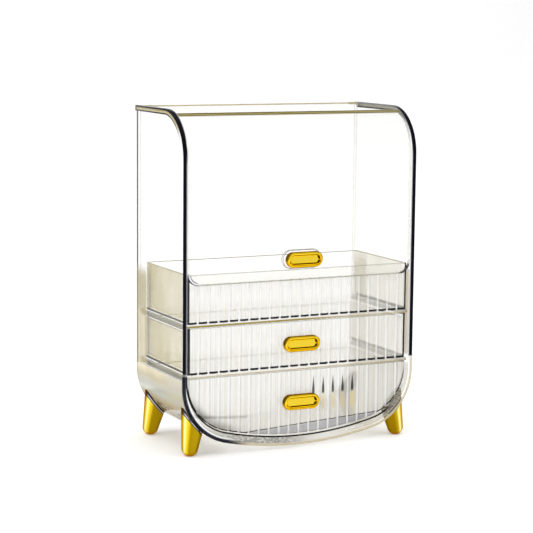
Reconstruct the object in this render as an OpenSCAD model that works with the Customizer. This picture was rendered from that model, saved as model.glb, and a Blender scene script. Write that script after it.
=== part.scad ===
// Dustproof makeup organizer: a clear case on four leaning feet, with a bent flip-up lid,
// a lift-out tray and two drawers with fluted fronts. It stands on the plane z = 0 and its
// front faces -Y. Outlines are drawn with y = 0 at the front rim, then set into the frame.

/* [Case] */
// Overall width, across the beads of the side walls
case_w = 250; // [220:1:300]
// Depth from the front rim to the back face
case_d = 119; // [100:1:170]
// Height of the case's top edge above the table
case_h = 329; // [290:1:400]
// Gap between the table and the lowest point of the case
belly_gap = 2.5; // [2:0.5:8]
// Thickness of the side walls and the curved bottom
wall = 3; // [2:0.25:4]
// Thickness of the back panel
back_t = 3; // [2:0.25:4]
// Radius of the bottom corners, seen from the front
corner_r = 58; // [50:1:66]
// Radius of the shallow curve of the bottom, seen from the front
belly_r = 360; // [320:5:500]
// Radius of the top front corner, seen from the side
shoulder_r = 46; // [30:1:60]
// Width of the bead that runs along the free edges
bead_w = 5.5; // [4:0.25:8]
// How far the bead stands proud of the side walls
bead_proud = 1.5; // [0.5:0.25:2.5]
// Height of the front bezel under the bottom drawer
bezel_h = 9.8; // [9:0.1:12]
// Radius of the shallow curve that the bezel and the bottom drawer's front share
bezel_r = 330; // [300:5:450]
// Drop of the back panel's top edge below the case's top edge
back_top_drop = 1.4; // [1:0.1:4]

/* [Levels] */
// Height of the lower shelf's top face
lower_shelf_z = 79; // [76:0.5:90]
// Height of the upper shelf's top face
upper_shelf_z = 127.5; // [122:0.5:140]
// Thickness of both shelves
shelf_t = 3; // [2:0.25:4]
// Width and height of the ledges that carry the shelves
ledge = 2.4; // [1.5:0.1:2.8]
// Distance of the bottom drawer's runners from the middle
runner_x = 70; // [50:1:71]
// Gap between the fronts and the front ends of ledges and runners
rail_gap = 1; // [0.5:0.1:3]

/* [Lid] */
// Thickness of the bent lid
lid_t = 3; // [2.5:0.25:3.5]
// How far the lid lies inside the outline of the side walls
lid_inset = 0.4; // [0.2:0.1:0.8]
// Side gap between the lid and each side wall
lid_side_gap = 0.5; // [0.3:0.1:1]
// How far the closed lid reaches below the tray's rim
lid_overlap = 10; // [5:0.5:15]
// Radius of the lid's lower corners
lid_corner_r = 11; // [4:0.5:16]
// Length of the knuckle at each end of the lid's rear edge
knuckle_l = 10; // [6:0.5:14]
// Radius of the hinge knuckles
knuckle_r = 1.9; // [1.75:0.05:2.1]
// Radius of the hinge pins
pin_r = 1.1; // [0.8:0.05:1.2]
// Depth of the pin holes in the side walls
pin_hole_depth = 3.7; // [2:0.1:4]
// Thickness of the closed end of a knuckle's bore
knuckle_end = 1; // [0.5:0.1:3]

/* [Tray and drawers] */
// Height of the tray
tray_h = 47; // [35:0.5:60]
// Gap between the tray and the back panel
tray_back_gap = 9; // [4:0.5:20]
// Thickness of the tray's and the drawers' walls
box_wall = 2.2; // [1.6:0.1:3]
// Thickness of the tray's and the drawers' floors
box_floor = 2.4; // [1.6:0.1:3]
// Thickness of the front panels behind the flutes
panel_t = 2.4; // [2:0.1:3.5]
// Number of flutes across each front
flute_count = 22; // [14:1:30]
// Depth of the flutes
flute_d = 1.1; // [0.6:0.1:1.6]
// Radius of the inner and outer corners of the boxes, seen from above
box_corner_r = 4; // [2.5:0.5:8]
// Side gap between the tray or the bottom drawer's front and the case
front_side_gap = 1.5; // [1:0.1:2.5]
// Side gap between the middle drawer's front and the case
middle_side_gap = 2.2; // [1:0.1:3.5]
// Gap between a front and the shelf above it
front_top_gap = 0.6; // [0.4:0.1:1.5]
// Gap between the bottom drawer's front and the bezel below it
bezel_gap = 0.7; // [0.5:0.1:1.5]
// Drop of the drawer sides below the top of their fronts
side_drop = 4.4; // [4:0.1:10]
// Gap between a drawer's back and the back panel
drawer_back_gap = 3; // [2:0.5:10]
// Height of the bottom drawer's flat floor above the lowest point of its front
floor_rise = 11.5; // [11:0.5:18]
// How far the bottom drawer's box lies inside the outline of its front
box_inset = 2.5; // [2.5:0.25:5]

/* [Pulls] */
// Length of a pull
pull_l = 38.6; // [28:0.1:50]
// Height of a pull
pull_h = 15; // [12:0.1:20]
// Depth of a pull from its seat to its rim
pull_d = 7.4; // [5:0.1:10]
// Radius of the round rim of a pull
pull_rim_r = 1.7; // [1:0.1:2]
// Length of the narrower neck of a pull
pull_neck_d = 2.2; // [1:0.1:3]
// How far the neck lies inside the pull's outline
pull_neck_inset = 2; // [1:0.1:3]
// How far the flat seat on a fluted front shows around the neck
pull_seat_rim = 1; // [0.5:0.1:2]
// Height of the lid pull above the lid's lower edge
lid_pull_rise = 20.4; // [19:0.1:30]
// Distance between the two screws of a pull
pull_screw_pitch = 18; // [12:0.5:22]
// Rise of the drawer pulls above the middle of their fronts
pull_rise = 1; // [0:0.1:3]

/* [Feet] */
// Radius of the round end of a foot
foot_tip_r = 8; // [6:0.1:10]
// Distance of a foot's end from the side of the case
foot_side_inset = 12; // [9:0.5:20]
// Distance of a foot's end from the front or back of the case
foot_depth_inset = 10.5; // [10:0.5:20]
// Taper of a foot, to each side
foot_taper = 8; // [4:0.5:10]
// Lean of a foot to the side
foot_lean_side = 10.4; // [8:0.1:14]
// Lean of a foot to the front or back
foot_lean_depth = 6; // [5:0.1:9]
// How far the round end is cut off flat to stand on
foot_flat = 0.6; // [0.3:0.1:1]

/* [Screws and fits] */
// Radius of all screw shanks
screw_r = 1.4; // [1:0.1:1.7]
// Radius of the foot screws' heads
screw_head_r = 3; // [2.4:0.1:3.6]
// Height of the foot screws' heads
screw_head_h = 1.8; // [1.2:0.1:2.4]
// Length of a foot screw's shank
foot_screw_l = 12; // [8:0.5:14]
// Radius of the countersunk heads of the pull screws
sunk_head_r = 2.7; // [2.2:0.1:3]
// Depth that a pull screw reaches into its pull
pull_screw_reach = 4; // [2.5:0.1:4.5]
// Radial clearance of a screw in its hole
screw_clear = 0.2; // [0.1:0.05:0.3]
// Radial clearance of a hinge pin in the side wall
pin_clear = 0.05; // [0.02:0.01:0.08]
// Clearance between a resting or sliding piece and what carries it
seat = 0.3; // [0.2:0.05:0.5]

/* [Hidden] */
$fn = 64;

CLEAR = [0.93, 0.91, 0.84, 0.35];
GOLD = [0.93, 0.72, 0.12];
STEEL = [0.75, 0.75, 0.77];

half_w = case_w / 2;
shell_half = half_w - bead_proud;
inner_half = shell_half - wall;
opening_bottom = belly_gap + bezel_h;
back_y = case_d - back_t;

// Pulls reach furthest to the front, so the frame's middle lies between them and the back.
reach_y = pull_d - lid_inset;
front_y = (reach_y - case_d) / 2;

// Fronts stand just behind the lid, so that it closes over the tray's rim.
lid_back_y = lid_inset + lid_t;
crest_y = lid_back_y + seat;
panel_y = crest_y + flute_d;
panel_back_y = panel_y + panel_t;
rail_y = max(panel_back_y, bead_w) + rail_gap;

// The boxes start in the middle of their front panels, well behind the flutes.
box_y = panel_y + panel_t / 2;

tray_z = upper_shelf_z + seat;
tray_rim_z = tray_z + tray_h;
tray_half = inner_half - front_side_gap;
tray_back_y = back_y - tray_back_gap;
middle_z = lower_shelf_z + seat;
middle_top_z = upper_shelf_z - shelf_t - front_top_gap;
middle_half = inner_half - middle_side_gap;
drawer_back_y = back_y - drawer_back_gap;
bottom_top_z = lower_shelf_z - shelf_t - front_top_gap;
bottom_z = opening_bottom + bezel_gap;
bottom_floor_z = bottom_z + floor_rise;

lid_half = inner_half - lid_side_gap;
lid_bottom_z = tray_rim_z - lid_overlap;
lid_pull_z = lid_bottom_z + lid_pull_rise;
middle_pull_z = (middle_z + middle_top_z) / 2 + pull_rise;
bottom_pull_z = (bottom_z + bottom_top_z) / 2 + pull_rise;
hinge_y = back_y - lid_side_gap - knuckle_r;
hinge_z = case_h - lid_inset - lid_t / 2;
back_top_z = case_h - back_top_drop;

// The round bottom corners share one centre line, from which the foot screws point outwards.
corner_x = half_w - corner_r;
corner_z = corner_centre(half_w, belly_gap, corner_r, belly_r);
foot_tip_x = half_w - foot_side_inset;
foot_tip_z = foot_tip_r - foot_flat;
foot_h = corner_z - foot_tip_z;

// A foot screw reaches the foot's axis about one shank length above the round end.
screw_y = foot_depth_inset + tan(foot_lean_depth) * foot_screw_l;
screw_seat_r = sqrt(pow(corner_r - bead_proud - wall, 2) - screw_head_r * screw_head_r);

// Keeps an outline that trims a front just clear of the front's own side faces.
trim = 0.05;
// How far a round corner dips through the bottom's curve where the two join.
blend = 0.01;
// How far a cut runs past the solid that it cuts, or a joined shape into its neighbour.
over = 1;

// Height of the centre of an outline's round corners.
function corner_centre(half, bottom, corner, belly) =
    bottom + belly - sqrt(pow(belly - corner, 2) - pow(half - corner, 2));

module in_frame() {
    translate([0, front_y, 0]) children();
}

// Extrudes an XZ outline from y0 to y1.
module along_y(y0, y1) {
    translate([0, y1, 0]) rotate([90, 0, 0]) linear_extrude(y1 - y0) children();
}

// Extrudes a YZ outline from x0 to x1.
module along_x(x0, x1) {
    translate([x0, 0, 0]) rotate([90, 0, 90]) linear_extrude(x1 - x0) children();
}

// Upright sides, round corners and a shallow curved bottom, all tangent to each other.
module u_outline(half, bottom, top, corner, belly) {
    centre_x = half - corner;
    centre_z = corner_centre(half, bottom, corner, belly);
    // The corner's centre and the point where it joins the bottom lie on one line to the
    // bottom's own centre, so the wedge between those lines holds the bottom's curve.
    slope = centre_x / (bottom + belly - centre_z);
    wedge_top = centre_z + corner / 4;
    wedge_low = bottom - corner / 4;
    // The corner discs lie a hair lower than that, so that the two curves cross cleanly.
    disc_z = centre_z - blend;
    intersection() {
        union() {
            for (side = [-1, 1])
                translate([side * centre_x, disc_z]) circle(corner);
            translate([-half, disc_z]) square([2 * half, max(top, centre_z + corner)]);
            intersection() {
                translate([0, bottom + belly]) circle(belly, $fn = 4 * $fn);
                polygon([for (z = [wedge_top, wedge_low], side = z == wedge_top ? [-1, 1] : [1, -1])
                             [side * slope * (bottom + belly - z), z]]);
            }
        }
        translate([-half - over, bottom - over]) square([2 * (half + over), top - bottom + over]);
    }
}

// Outline of the case, moved inwards by a distance.
module case_outline(inset, top) {
    u_outline(half_w - inset, belly_gap + inset, top, corner_r - inset, belly_r - inset);
}

// Outline of the front opening, or of what lies inside it by a gap.
module opening_outline(side_gap, low_gap, top) {
    u_outline(inner_half - side_gap, opening_bottom + low_gap, top,
              inner_half - side_gap - corner_x, bezel_r);
}

// Side view of the case: straight back, round top front corner.
module side_outline(inset, back, low) {
    r = shoulder_r - inset;
    top = case_h - inset;
    translate([inset, low]) square([back - inset, top - r - low]);
    translate([inset + r, low]) square([back - inset - r, top - low]);
    translate([inset + r, top - r]) circle(r);
}

module stadium(length, height) {
    translate([-(length - height) / 2, -height / 2]) square([length - height, height]);
    for (side = [-1, 1])
        translate([side * (length - height) / 2, 0]) circle(height / 2);
}

module rounded_rect(x0, x1, y0, y1, r) {
    translate([x0 + r, y0]) square([x1 - x0 - 2 * r, y1 - y0]);
    translate([x0, y0 + r]) square([x1 - x0, y1 - y0 - 2 * r]);
    for (x = [x0 + r, x1 - r], y = [y0 + r, y1 - r])
        translate([x, y]) circle(r);
}

// Plan of a front panel: a straight back with a row of shallow convex flutes. The straight
// part starts a quarter of its thickness behind the valleys, inside the flutes.
module fluted_plan(half) {
    pitch = 2 * half / flute_count;
    flute_r = (pitch * pitch / 4 + flute_d * flute_d) / (2 * flute_d);
    translate([-half, panel_y + panel_t / 4]) square([2 * half, panel_t * 3 / 4]);
    intersection() {
        translate([-half, crest_y - over]) square([2 * half, over + flute_d + panel_t / 2]);
        for (i = [0 : flute_count - 1])
            translate([-half + (i + 0.5) * pitch, crest_y + flute_r]) circle(flute_r);
    }
}

// Flat seat for a pull, level with the crests of the flutes.
module pull_seat(z) {
    margin = 2 * (pull_seat_rim - pull_neck_inset);
    translate([0, 0, z]) along_y(crest_y, panel_back_y) stadium(pull_l + margin, pull_h + margin);
}

// Countersunk screw from the back of a panel into a pull. A clearance above 0 makes its hole.
module pull_screw_shape(panel_y0, panel_y1, clear) {
    head_h = sunk_head_r - screw_r;
    tip_y = panel_y0 - (clear > 0 ? over : pull_screw_reach);
    translate([0, panel_y1, 0]) rotate([90, 0, 0]) {
        cylinder(r = screw_r + clear, h = panel_y1 - tip_y);
        cylinder(r1 = sunk_head_r + clear, r2 = screw_r + clear, h = head_h);
    }
}

module pull_screws(z, panel_y0, panel_y1, clear) {
    for (side = [-1, 1])
        translate([side * pull_screw_pitch / 2, 0, z]) pull_screw_shape(panel_y0, panel_y1, clear);
}

// Pull with a narrow neck and a round raised rim about a flat face.
module pull(seat_y, z) {
    face_d = pull_d - pull_rim_r;
    path_l = pull_l - 2 * pull_rim_r;
    path_h = pull_h - 2 * pull_rim_r;
    bend_x = (path_l - path_h) / 2;
    translate([0, seat_y, z]) difference() {
        union() {
            along_y(-pull_neck_d - over, 0)
                stadium(pull_l - 2 * pull_neck_inset, pull_h - 2 * pull_neck_inset);
            along_y(-face_d, -pull_neck_d) stadium(pull_l, pull_h);
            for (side = [-1, 1]) {
                translate([-bend_x, -face_d, side * path_h / 2]) rotate([0, 90, 0])
                    cylinder(r = pull_rim_r, h = 2 * bend_x);
                translate([side * bend_x, -face_d, 0]) rotate([90, 0, 0])
                    rotate([0, 0, side < 0 ? 90 : -90]) rotate_extrude(angle = 180)
                        translate([path_h / 2, 0]) circle(pull_rim_r, $fn = 32);
            }
        }
        for (side = [-1, 1])
            translate([side * pull_screw_pitch / 2, over, 0]) rotate([90, 0, 0])
                cylinder(r = screw_r, h = over + pull_screw_reach);
    }
}

// The case as a solid block, for cutting the feet to its curved bottom.
module case_block() {
    along_y(0, case_d) case_outline(bead_proud, lower_shelf_z);
    along_y(0, bead_w) case_outline(0, lower_shelf_z);
}

// Puts a foot screw, or its hole, on the centre line of a bottom corner.
module at_foot_screw(side, y) {
    translate([side * corner_x, y, corner_z]) rotate([0, side * 135, 0]) children();
}

module foot(side, rear) {
    tip_y = rear ? case_d - foot_depth_inset : foot_depth_inset;
    hole_y = rear ? case_d - screw_y : screw_y;
    lean_y = rear ? foot_lean_depth : -foot_lean_depth;
    cone_low = foot_tip_r * sin(foot_taper);
    cone_h = foot_h + cone_low;
    low_r = foot_tip_r * cos(foot_taper);
    difference() {
        translate([side * foot_tip_x, tip_y, foot_tip_z]) rotate([lean_y, -side * foot_lean_side, 0]) {
            sphere(foot_tip_r);
            translate([0, 0, -cone_low])
                cylinder(r1 = low_r, r2 = low_r + cone_h * tan(foot_taper), h = cone_h);
        }
        translate([-case_w, -case_d, -foot_tip_r]) cube([2 * case_w, 3 * case_d, foot_tip_r]);
        case_block();
        at_foot_screw(side, hole_y) cylinder(r = screw_r, h = screw_seat_r + foot_screw_l);
    }
}

module case_shell() {
    color(CLEAR) in_frame() difference() {
        union() {
            intersection() {
                along_y(0, case_d) difference() {
                    case_outline(bead_proud, case_h);
                    case_outline(bead_proud + wall, case_h + over);
                }
                along_x(-half_w, half_w) side_outline(0, case_d, 0);
            }
            intersection() {
                along_y(0, case_d) difference() {
                    case_outline(0, case_h);
                    case_outline(bead_proud + wall, case_h + over);
                }
                along_x(-half_w, half_w) difference() {
                    side_outline(0, case_d, 0);
                    side_outline(bead_w, case_d + over, -over);
                }
            }
            along_y(0, bead_w) difference() {
                case_outline(bead_proud, lower_shelf_z);
                opening_outline(0, 0, lower_shelf_z + over);
            }
            for (side = [-1, 1], z = [lower_shelf_z, upper_shelf_z])
                translate([side * (inner_half - ledge / 2) - ledge / 2, rail_y, z - shelf_t - ledge])
                    cube([ledge, back_y - rail_y, ledge]);
        }
        for (side = [-1, 1]) {
            translate([side * inner_half, hinge_y, hinge_z]) rotate([0, side * 90, 0])
                translate([0, 0, -over]) cylinder(r = pin_r + pin_clear, h = over + pin_hole_depth);
            for (y = [screw_y, case_d - screw_y])
                at_foot_screw(side, y)
                    cylinder(r = screw_r + screw_clear, h = corner_r + over);
        }
    }
}

module back_panel() {
    color(CLEAR) in_frame() along_y(back_y, case_d) case_outline(bead_proud + wall, back_top_z);
}

module shelf(z) {
    translate([-inner_half, crest_y, z - shelf_t])
        cube([2 * inner_half, back_y - crest_y, shelf_t]);
}

module upper_shelf() {
    color(CLEAR) in_frame() shelf(upper_shelf_z);
}

module lower_shelf() {
    color(CLEAR) in_frame() shelf(lower_shelf_z);
}

// Strips on the curved bottom that carry the bottom drawer's flat floor.
module floor_runners() {
    color(CLEAR) in_frame() for (side = [-1, 1])
        difference() {
            translate([side * runner_x - wall / 2, rail_y, belly_gap])
                cube([wall, back_y - rail_y, bottom_floor_z - seat - belly_gap]);
            along_y(0, case_d) difference() {
                translate([-half_w, 0]) square([case_w, bottom_floor_z]);
                case_outline(bead_proud + wall, case_h);
            }
        }
}

module front_left_foot() {
    color(GOLD) in_frame() foot(-1, false);
}

module front_right_foot() {
    color(GOLD) in_frame() foot(1, false);
}

module rear_left_foot() {
    color(GOLD) in_frame() foot(-1, true);
}

module rear_right_foot() {
    color(GOLD) in_frame() foot(1, true);
}

module foot_screws() {
    color(STEEL) in_frame() for (side = [-1, 1], y = [screw_y, case_d - screw_y])
        at_foot_screw(side, y) translate([0, 0, screw_seat_r]) {
            translate([0, 0, -screw_head_h]) cylinder(r = screw_head_r, h = screw_head_h);
            cylinder(r = screw_r, h = foot_screw_l);
        }
}

module lid_panel() {
    color(CLEAR) in_frame() difference() {
        union() {
            along_x(-lid_half, lid_half) {
                intersection() {
                    difference() {
                        side_outline(lid_inset, hinge_y, 0);
                        side_outline(lid_inset + lid_t, hinge_y + over, -over);
                    }
                    translate([0, lid_bottom_z]) square([case_d, case_h]);
                }
                translate([hinge_y, hinge_z]) circle(lid_t / 2);
            }
            for (side = [-1, 1])
                translate([side * (lid_half - knuckle_l / 2), hinge_y, hinge_z]) rotate([0, 90, 0])
                    cylinder(r = knuckle_r, h = knuckle_l, center = true);
        }
        for (side = [-1, 1]) {
            translate([side * lid_half, hinge_y, hinge_z]) rotate([0, -side * 90, 0])
                translate([0, 0, -over]) cylinder(r = pin_r, h = over + knuckle_l - knuckle_end);
            along_y(-over, lid_back_y + over) difference() {
                translate([side * lid_half - lid_corner_r, lid_bottom_z - over])
                    square([2 * lid_corner_r, lid_corner_r + over]);
                translate([side * (lid_half - lid_corner_r), lid_bottom_z + lid_corner_r])
                    circle(lid_corner_r);
                translate([-lid_half + lid_corner_r, lid_bottom_z - 2 * over])
                    square([2 * (lid_half - lid_corner_r), lid_corner_r * 2]);
            }
        }
        pull_screws(lid_pull_z, lid_inset, lid_back_y, screw_clear);
    }
}

module hinge_pin(side) {
    inside = knuckle_l - knuckle_end;
    outside = lid_side_gap + pin_hole_depth - seat;
    translate([side * (lid_half - inside), hinge_y, hinge_z]) rotate([0, side * 90, 0])
        cylinder(r = pin_r, h = inside + outside);
}

module left_hinge_pin() {
    color(CLEAR) in_frame() hinge_pin(-1);
}

module right_hinge_pin() {
    color(CLEAR) in_frame() hinge_pin(1);
}

module lid_pull() {
    color(GOLD) in_frame() pull(lid_inset, lid_pull_z);
}

module lid_pull_screws() {
    color(STEEL) in_frame() pull_screws(lid_pull_z, lid_inset, lid_back_y, 0);
}

// Open box behind a fluted front. The front may be higher than the box.
module fluted_box(half, low, front_top, box_top, back) {
    linear_extrude_at(low, front_top) fluted_plan(half);
    difference() {
        linear_extrude_at(low, box_top) {
            rounded_rect(-half, half, box_y, back, box_corner_r);
            translate([-half, box_y]) square([2 * half, 2 * box_corner_r]);
        }
        linear_extrude_at(low + box_floor, box_top + over)
            rounded_rect(-half + box_wall, half - box_wall, panel_back_y, back - box_wall,
                         box_corner_r - box_wall / 2);
    }
}

module linear_extrude_at(z0, z1) {
    translate([0, 0, z0]) linear_extrude(z1 - z0) children();
}

module tray() {
    color(CLEAR) in_frame() fluted_box(tray_half, tray_z, tray_rim_z, tray_rim_z, tray_back_y);
}

module middle_drawer() {
    color(CLEAR) in_frame() difference() {
        union() {
            fluted_box(middle_half, middle_z, middle_top_z, middle_top_z - side_drop, drawer_back_y);
            pull_seat(middle_pull_z);
        }
        pull_screws(middle_pull_z, crest_y, panel_back_y, screw_clear);
    }
}

module middle_pull() {
    color(GOLD) in_frame() pull(crest_y, middle_pull_z);
}

module middle_pull_screws() {
    color(STEEL) in_frame() pull_screws(middle_pull_z, crest_y, panel_back_y, 0);
}

// Section of the bottom drawer's box: the front's outline moved inwards, with a flat floor.
module bottom_section(inset, low, top) {
    intersection() {
        opening_outline(front_side_gap + inset, bezel_gap + inset, top);
        translate([-half_w, low]) square([case_w, top - low]);
    }
}

module bottom_drawer() {
    box_top_z = bottom_top_z - side_drop;
    color(CLEAR) in_frame() difference() {
        union() {
            intersection() {
                linear_extrude_at(bottom_z - over, bottom_top_z) fluted_plan(tray_half);
                along_y(0, panel_back_y + over)
                    opening_outline(front_side_gap - trim, bezel_gap, bottom_top_z + over);
            }
            difference() {
                along_y(box_y, drawer_back_y) bottom_section(box_inset, bottom_floor_z, box_top_z);
                along_y(panel_back_y, drawer_back_y - box_wall)
                    bottom_section(box_inset + box_wall, bottom_floor_z + box_floor, box_top_z + over);
            }
            pull_seat(bottom_pull_z);
        }
        pull_screws(bottom_pull_z, crest_y, panel_back_y, screw_clear);
    }
}

module bottom_pull() {
    color(GOLD) in_frame() pull(crest_y, bottom_pull_z);
}

module bottom_pull_screws() {
    color(STEEL) in_frame() pull_screws(bottom_pull_z, crest_y, panel_back_y, 0);
}

case_shell();
back_panel();
upper_shelf();
lower_shelf();
floor_runners();
front_left_foot();
front_right_foot();
rear_left_foot();
rear_right_foot();
foot_screws();
lid_panel();
left_hinge_pin();
right_hinge_pin();
lid_pull();
lid_pull_screws();
tray();
middle_drawer();
middle_pull();
middle_pull_screws();
bottom_drawer();
bottom_pull();
bottom_pull_screws();
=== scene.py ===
"""Looks of a clear dustproof makeup organizer on four gold feet.

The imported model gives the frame. Every piece here is in metres in that frame, with the
front facing -Y and the table at z = 0. Sizes in the material masks are in millimetres,
with y counted from the case's front rim, as a maker reads them off the side wall.
"""

from __future__ import annotations

import logging
import math
from dataclasses import dataclass, field
from enum import Enum
from functools import partial, partialmethod
from typing import Callable, Iterable

import bmesh
import bpy
from mathutils import Matrix, Vector


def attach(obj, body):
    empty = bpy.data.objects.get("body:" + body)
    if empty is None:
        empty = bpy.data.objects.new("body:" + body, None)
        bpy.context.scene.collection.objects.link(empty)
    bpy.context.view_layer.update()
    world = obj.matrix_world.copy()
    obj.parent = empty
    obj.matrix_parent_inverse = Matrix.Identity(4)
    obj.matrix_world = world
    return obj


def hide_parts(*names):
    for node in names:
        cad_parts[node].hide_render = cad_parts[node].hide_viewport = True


MM = 0.001
TO_MM = 1000
RIM_Y = -0.056
# Millimetres: the bend of side walls and lid, the lid's round corners, and the pulls' outline.
BEND_R, BEND_Z = 46, 283
LID_CORNER_X, LID_CORNER_Z = 109, 175.8
PULL_REACH, PULL_R, PULL_RIM = 11.8, 7.5, 1.7
LID_PULL_Z = 185.2
SHELF_PITCH, SHELF_LOW = 48.5, 27.5
# U outlines seen from the front: half width, lowest point, radius of corners and of bottom.
CASE_U = (125, 2.5, 58, 360)
OPENING_U = (120.5, 12.3, 53.5, 330)
log = logging.getLogger("organizer")


# ---- materials


class Wire:
    """What one output socket carries."""

    def __init__(self, book: NodeBook, socket: bpy.types.NodeSocket) -> None:
        """Wraps one output socket.

        Args:
            book: Where the nodes are made.
            socket: The output.
        """
        self.book = book
        self.socket = socket


class Signal(Wire):
    """A number in a material's nodes that Python's own signs can work on."""

    def maths(self, operation: str, *others: Number, flip: bool = False, clamp: bool = False,
              ) -> Signal:
        """Adds one Math node.

        Args:
            operation: What it does.
            others: The node's other inputs.
            flip: Whether this signal comes after the others.
            clamp: Whether the result is kept between 0 and 1.

        Returns:
            The result.
        """
        settings = {"operation": operation, "use_clamp": clamp}
        values = (*others, self) if flip else (self, *others)
        made = self.book.node("ShaderNodeMath", settings, dict(enumerate(values)))
        return Signal(self.book, made.outputs[0])

    __add__ = __radd__ = partialmethod(maths, "ADD")
    __mul__ = __rmul__ = partialmethod(maths, "MULTIPLY")
    __sub__ = partialmethod(maths, "SUBTRACT")
    __rsub__ = partialmethod(maths, "SUBTRACT", flip=True)
    __truediv__ = partialmethod(maths, "DIVIDE")
    __rtruediv__ = partialmethod(maths, "DIVIDE", flip=True)
    __abs__ = partialmethod(maths, "ABSOLUTE")
    above = partialmethod(maths, "GREATER_THAN")
    least = partialmethod(maths, "MINIMUM")
    most = partialmethod(maths, "MAXIMUM")
    root = partialmethod(maths, "SQRT")
    clamp = partialmethod(maths, "ADD", 0.0, clamp=True)

    def phase(self, period: float) -> Signal:
        """Where the signal stands in a repeat, from 0 to 1."""
        return (self / period).maths("FRACT")

    def ramp(self, low: float, high: float) -> Signal:
        """Smooth step from 0 at one value to 1 at another.

        Args:
            low: Where the step starts.
            high: Where it ends. It may be lower than the start.

        Returns:
            The step.
        """
        values = {"Value": self, "From Min": min(low, high), "From Max": max(low, high)}
        made = self.book.node("ShaderNodeMapRange", {"interpolation_type": "SMOOTHSTEP"}, values)
        step = Signal(self.book, made.outputs[0])
        return 1 - step if low > high else step

    def band(self, low: float, high: float, soft: float) -> Signal:
        """1 between two values, fading out over a soft width on either side.

        Args:
            low: Lower edge.
            high: Upper edge.
            soft: Width of each fade.

        Returns:
            The band's mask.
        """
        return self.ramp(low - soft, low + soft) * self.ramp(high + soft, high - soft)


Number = float | Signal
Colour = Triple = tuple[float, float, float]
Piece = bpy.types.Object


class Blend(Wire):
    """A colour in a material's nodes."""

    def under(self, *shades: tuple[Blend | Colour, Number]) -> Blend:
        """This colour with others mixed in, one after another.

        Args:
            shades: Each other colour and its share, 0 to 1.

        Returns:
            The mixed colour.
        """
        mixed = self
        for other, share in shades:
            mixed = self.book.mix(share, mixed, other)
        return mixed


class NodeBook:
    """Makes the nodes of one material or world."""

    def __init__(self, tree: bpy.types.NodeTree) -> None:
        """Starts with an empty tree."""
        self.tree = tree
        tree.nodes.clear()

    @classmethod
    def for_material(cls, name: str) -> tuple[bpy.types.Material, NodeBook]:
        """Makes a material.

        Args:
            name: Its name.

        Returns:
            The material, and the book of its nodes.
        """
        made = bpy.data.materials.new(name)
        made.use_nodes = True
        return made, cls(made.node_tree)

    def node(self, kind: str, settings: dict | None = None, values: dict | None = None,
             ) -> bpy.types.Node:
        """Adds one node.

        Args:
            kind: The node's type.
            settings: Properties that are set first. "stops" gives a ramp's places and colours.
            values: Numbers, colours or links for its inputs, by name or number.

        Returns:
            The node.
        """
        made = self.tree.nodes.new(kind)
        for name, value in (settings or {}).items():
            if name == "stops":
                elements = made.color_ramp.elements
                while len(elements) < len(value):
                    elements.new(0.5)
                for element, (place, colour) in zip(elements, value):
                    element.position, element.color = place, (*colour, 1)
            else:
                setattr(made, name, value)
        for name, value in (values or {}).items():
            source = getattr(value, "socket", value)
            if isinstance(source, bpy.types.NodeSocket):
                self.tree.links.new(source, made.inputs[name])
            elif isinstance(source, tuple) and made.inputs[name].type == "RGBA":
                made.inputs[name].default_value = (*source, 1)
            else:
                made.inputs[name].default_value = source
        return made

    def mix(self, share: Number, first: Blend | Colour, second: Blend | Colour) -> Blend:
        """Mixes two colours.

        Args:
            share: How much of the second there is.
            first: First colour.
            second: Second colour.

        Returns:
            The mixed colour.
        """
        settings = {"data_type": "RGBA", "clamp_factor": True}
        made = self.node("ShaderNodeMix", settings, {0: share, 6: first, 7: second})
        return Blend(self, made.outputs[2])

    def noise(self, scale: float, detail: float = 2.0,
              stretch: Triple = (1, 1, 1)) -> Signal:
        """Noise over the piece, in its own coordinates.

        Args:
            scale: Cells to a metre.
            detail: Octaves.
            stretch: Scale along each axis.

        Returns:
            The noise, about 0.5.
        """
        place = self.node("ShaderNodeTexCoord").outputs["Object"]
        turned = self.node("ShaderNodeMapping", None, {"Vector": place, "Scale": stretch})
        made = self.node("ShaderNodeTexNoise", None,
                         {"Vector": turned.outputs[0], "Scale": scale, "Detail": detail})
        return Signal(self, made.outputs[0])


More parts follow.
